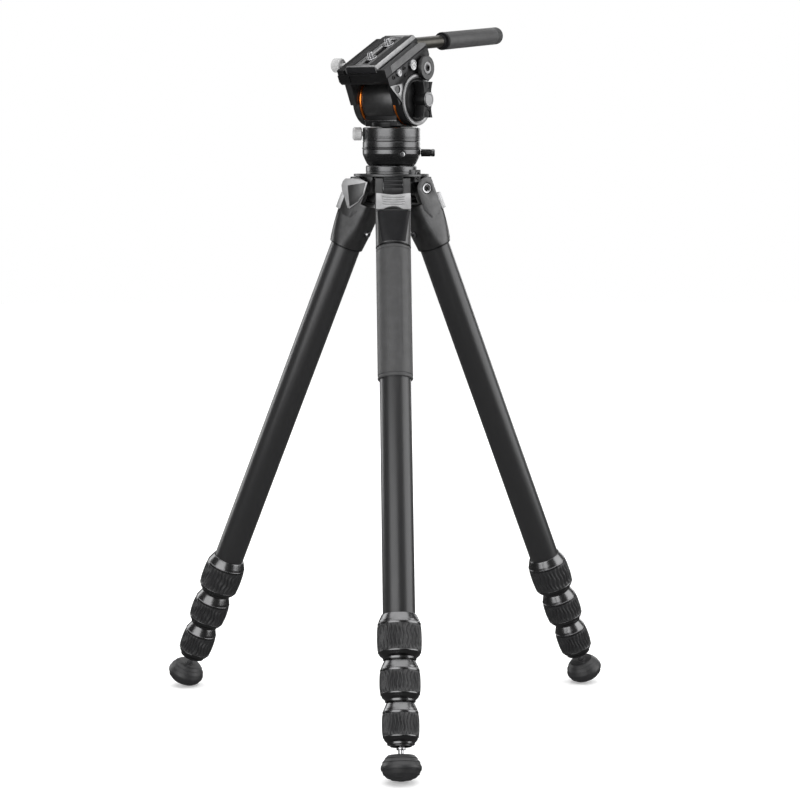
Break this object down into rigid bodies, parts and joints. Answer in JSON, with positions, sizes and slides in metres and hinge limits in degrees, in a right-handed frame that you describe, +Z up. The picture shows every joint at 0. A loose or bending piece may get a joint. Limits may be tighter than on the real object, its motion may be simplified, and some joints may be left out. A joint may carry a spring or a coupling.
{
  "type": "tripod with fluid video head",
  "caption": "Three-legged camera stand with telescoping carbon legs, twist collars, levelling bowl, fluid pan and tilt head, sliding plate and pan handle.",
  "frame": {"origin": "mouth of the hook thread in the underside of the crown, on the pan axis", "axes": "+Z up along the pan axis, front leg towards -Y, the other two legs towards +X+Y and -X+Y"},
  "size_m": [0.4926, 0.5312, 0.7448],
  "materials": {
    "carbon_tube": "satin woven carbon",
    "graphite": "satin anodised",
    "graphite_light": "satin anodised",
    "rubber": "matt",
    "steel": "bright",
    "alloy": "satin",
    "orange_band": "satin anodised",
    "liner_plastic": "low friction",
    "warm_alloy": "satin"
  },
  "bodies": {
    "crown": {"crown": "graphite", "hinge_bolts": "steel", "level_bowl": "graphite", "bowl_screw": "steel"},
    "level_lock": {"level_lock_knob": "graphite"},
    "liner": {"level_liner": "liner_plastic"},
    "platform": {"level_platform": "graphite", "pan_base": "graphite"},
    "pan_lock": {"pan_lock_knob": "alloy"},
    "head": {"head_body": "graphite", "drum_bands": "orange_band"},
    "tilt": {"tilt_frame": "graphite", "left_side": "graphite", "tilt_axle": "steel", "side_rosettes": "graphite"},
    "drag_ring": {"tilt_drag_ring": "alloy"},
    "tilt_lock": {"tilt_lock_lever": "graphite", "lever_cap": "alloy"},
    "plate": {"plate": "graphite", "plate_pads": "rubber", "camera_screws": "steel"},
    "plate_lock": {"plate_lock_knob": "alloy"},
    "release": {"plate_release_button": "alloy"},
    "handle": {"handle_arm": "warm_alloy", "handle_grip": "rubber", "handle_bolt": "steel"},
    "leg_front": {"leg_front_yoke": "graphite", "leg_front_tube_a": "carbon_tube", "leg_front_grip_sleeve": "rubber"},
    "leg_front_stop": {"leg_front_angle_stop": "graphite_light"},
    "leg_front_twist_a": {"leg_front_collar_a": "rubber"},
    "leg_front_section_b": {"leg_front_tube_b": "carbon_tube"},
    "leg_front_twist_b": {"leg_front_collar_b": "rubber"},
    "leg_front_section_c": {"leg_front_tube_c": "carbon_tube"},
    "leg_front_twist_c": {"leg_front_collar_c": "rubber"},
    "leg_front_section_d": {"leg_front_tube_d": "carbon_tube", "leg_front_foot_stud": "steel", "leg_front_foot": "rubber"},
    "leg_right": {"leg_right_yoke": "graphite", "leg_right_tube_a": "carbon_tube"},
    "leg_right_stop": {"leg_right_angle_stop": "graphite_light"},
    "leg_right_twist_a": {"leg_right_collar_a": "rubber"},
    "leg_right_section_b": {"leg_right_tube_b": "carbon_tube"},
    "leg_right_twist_b": {"leg_right_collar_b": "rubber"},
    "leg_right_section_c": {"leg_right_tube_c": "carbon_tube"},
    "leg_right_twist_c": {"leg_right_collar_c": "rubber"},
    "leg_right_section_d": {"leg_right_tube_d": "carbon_tube", "leg_right_foot_stud": "steel", "leg_right_foot": "rubber"},
    "leg_left": {"leg_left_yoke": "graphite", "leg_left_tube_a": "carbon_tube"},
    "leg_left_stop": {"leg_left_angle_stop": "graphite_light"},
    "leg_left_twist_a": {"leg_left_collar_a": "rubber"},
    "leg_left_section_b": {"leg_left_tube_b": "carbon_tube"},
    "leg_left_twist_b": {"leg_left_collar_b": "rubber"},
    "leg_left_section_c": {"leg_left_tube_c": "carbon_tube"},
    "leg_left_twist_c": {"leg_left_collar_c": "rubber"},
    "leg_left_section_d": {"leg_left_tube_d": "carbon_tube", "leg_left_foot_stud": "steel", "leg_left_foot": "rubber"}
  },
  "joints": [
    {"name": "leg_front_swing", "type": "hinge", "parent": "crown", "child": "leg_front", "pos_m": [0, -0.033, 0.005], "axis": [-1, 0, 0], "range_deg": [-23, 0]},
    {"name": "leg_front_stop_pull", "type": "slide", "parent": "leg_front", "child": "leg_front_stop", "axis": [0, -0.9203, 0.3912], "range_m": [0, 0.005]},
    {"name": "leg_front_twist_a_turn", "type": "hinge", "parent": "leg_front", "child": "leg_front_twist_a", "pos_m": [0, -0.21296, -0.4292], "axis": [0, -0.3912, -0.9203], "range_deg": [0, 90]},
    {"name": "leg_front_section_b_slide", "type": "slide", "parent": "leg_front", "child": "leg_front_section_b", "axis": [0, -0.3912, -0.9203], "range_m": [0, 0.35]},
    {"name": "leg_front_twist_b_turn", "type": "hinge", "parent": "leg_front_section_b", "child": "leg_front_twist_b", "pos_m": [0, -0.22861, -0.46602], "axis": [0, -0.3912, -0.9203], "range_deg": [0, 90]},
    {"name": "leg_front_section_c_slide", "type": "slide", "parent": "leg_front_section_b", "child": "leg_front_section_c", "axis": [0, -0.3912, -0.9203], "range_m": [0, 0.35]},
    {"name": "leg_front_twist_c_turn", "type": "hinge", "parent": "leg_front_section_c", "child": "leg_front_twist_c", "pos_m": [0, -0.24426, -0.50283], "axis": [0, -0.3912, -0.9203], "range_deg": [0, 90]},
    {"name": "leg_front_section_d_slide", "type": "slide", "parent": "leg_front_section_c", "child": "leg_front_section_d", "axis": [0, -0.3912, -0.9203], "range_m": [0, 0.35]},
    {"name": "leg_right_swing", "type": "hinge", "parent": "crown", "child": "leg_right", "pos_m": [0.02858, 0.0165, 0.005], "axis": [0.5, -0.866, 0], "range_deg": [-23, 0]},
    {"name": "leg_right_stop_pull", "type": "slide", "parent": "leg_right", "child": "leg_right_stop", "axis": [0.797, 0.4602, 0.3912], "range_m": [0, 0.005]},
    {"name": "leg_right_twist_a_turn", "type": "hinge", "parent": "leg_right", "child": "leg_right_twist_a", "pos_m": [0.18443, 0.10648, -0.4292], "axis": [0.3388, 0.1956, -0.9203], "range_deg": [0, 90]},
    {"name": "leg_right_section_b_slide", "type": "slide", "parent": "leg_right", "child": "leg_right_section_b", "axis": [0.3388, 0.1956, -0.9203], "range_m": [0, 0.35]},
    {"name": "leg_right_twist_b_turn", "type": "hinge", "parent": "leg_right_section_b", "child": "leg_right_twist_b", "pos_m": [0.19798, 0.1143, -0.46602], "axis": [0.3388, 0.1956, -0.9203], "range_deg": [0, 90]},
    {"name": "leg_right_section_c_slide", "type": "slide", "parent": "leg_right_section_b", "child": "leg_right_section_c", "axis": [0.3388, 0.1956, -0.9203], "range_m": [0, 0.35]},
    {"name": "leg_right_twist_c_turn", "type": "hinge", "parent": "leg_right_section_c", "child": "leg_right_twist_c", "pos_m": [0.21153, 0.12213, -0.50283], "axis": [0.3388, 0.1956, -0.9203], "range_deg": [0, 90]},
    {"name": "leg_right_section_d_slide", "type": "slide", "parent": "leg_right_section_c", "child": "leg_right_section_d", "axis": [0.3388, 0.1956, -0.9203], "range_m": [0, 0.35]},
    {"name": "leg_left_swing", "type": "hinge", "parent": "crown", "child": "leg_left", "pos_m": [-0.02858, 0.0165, 0.005], "axis": [0.5, 0.866, 0], "range_deg": [-23, 0]},
    {"name": "leg_left_stop_pull", "type": "slide", "parent": "leg_left", "child": "leg_left_stop", "axis": [-0.797, 0.4602, 0.3912], "range_m": [0, 0.005]},
    {"name": "leg_left_twist_a_turn", "type": "hinge", "parent": "leg_left", "child": "leg_left_twist_a", "pos_m": [-0.18443, 0.10648, -0.4292], "axis": [-0.3388, 0.1956, -0.9203], "range_deg": [0, 90]},
    {"name": "leg_left_section_b_slide", "type": "slide", "parent": "leg_left", "child": "leg_left_section_b", "axis": [-0.3388, 0.1956, -0.9203], "range_m": [0, 0.35]},
    {"name": "leg_left_twist_b_turn", "type": "hinge", "parent": "leg_left_section_b", "child": "leg_left_twist_b", "pos_m": [-0.19798, 0.1143, -0.46602], "axis": [-0.3388, 0.1956, -0.9203], "range_deg": [0, 90]},
    {"name": "leg_left_section_c_slide", "type": "slide", "parent": "leg_left_section_b", "child": "leg_left_section_c", "axis": [-0.3388, 0.1956, -0.9203], "range_m": [0, 0.35]},
    {"name": "leg_left_twist_c_turn", "type": "hinge", "parent": "leg_left_section_c", "child": "leg_left_twist_c", "pos_m": [-0.21153, 0.12213, -0.50283], "axis": [-0.3388, 0.1956, -0.9203], "range_deg": [0, 90]},
    {"name": "leg_left_section_d_slide", "type": "slide", "parent": "leg_left_section_c", "child": "leg_left_section_d", "axis": [-0.3388, 0.1956, -0.9203], "range_m": [0, 0.35]},
    {"name": "level_side", "type": "hinge", "parent": "crown", "child": "liner", "pos_m": [0, 0, 0.0667], "axis": [1, 0, 0], "range_deg": [-10, 10]},
    {"name": "level_fore", "type": "hinge", "parent": "liner", "child": "platform", "pos_m": [0, 0, 0.0667], "axis": [0, 1, 0], "range_deg": [-10, 10]},
    {"name": "level_lock_turn", "type": "hinge", "parent": "crown", "child": "level_lock", "pos_m": [0.0306, 0, 0.0421], "axis": [1, 0, 0], "range_deg": [0, 180]},
    {"name": "pan", "type": "hinge", "parent": "platform", "child": "head", "pos_m": [0, 0, 0.0684], "axis": [0, 0, 1], "continuous": true},
    {"name": "pan_lock_turn", "type": "hinge", "parent": "platform", "child": "pan_lock", "pos_m": [-0.03098, -0.00108, 0.0617], "axis": [-0.9994, -0.0349, 0], "range_deg": [0, 180]},
    {"name": "tilt", "type": "hinge", "parent": "head", "child": "tilt", "pos_m": [0, 0, 0.097], "axis": [0.7953, -0.6063, 0], "range_deg": [-60, 50]},
    {"name": "drag_turn", "type": "hinge", "parent": "tilt", "child": "drag_ring", "pos_m": [0.02489, -0.01898, 0.097], "axis": [0.7953, -0.6063, 0], "range_deg": [0, 270]},
    {"name": "tilt_lock_turn", "type": "hinge", "parent": "tilt", "child": "tilt_lock", "pos_m": [0.0272, -0.02073, 0.097], "axis": [0.7953, -0.6063, 0], "range_deg": [-60, 60]},
    {"name": "plate_slide", "type": "slide", "parent": "tilt", "child": "plate", "axis": [0.543, 0.7123, 0.4446], "range_m": [-0.015, 0.02]},
    {"name": "plate_lock_turn", "type": "hinge", "parent": "tilt", "child": "plate_lock", "pos_m": [-0.05122, -0.0012, 0.13247], "axis": [-0.7953, 0.6063, 0], "range_deg": [0, 180]},
    {"name": "release_press", "type": "slide", "parent": "tilt", "child": "release", "axis": [0.7953, -0.6063, 0], "range_m": [0, 0.0015], "stiffness_N_per_m": 200},
    {"name": "handle_swing", "type": "hinge", "parent": "tilt", "child": "handle", "pos_m": [-0.02829, 0.03546, 0.12984], "axis": [-0.7953, 0.6063, 0], "range_deg": [-60, 25]}
  ]
}
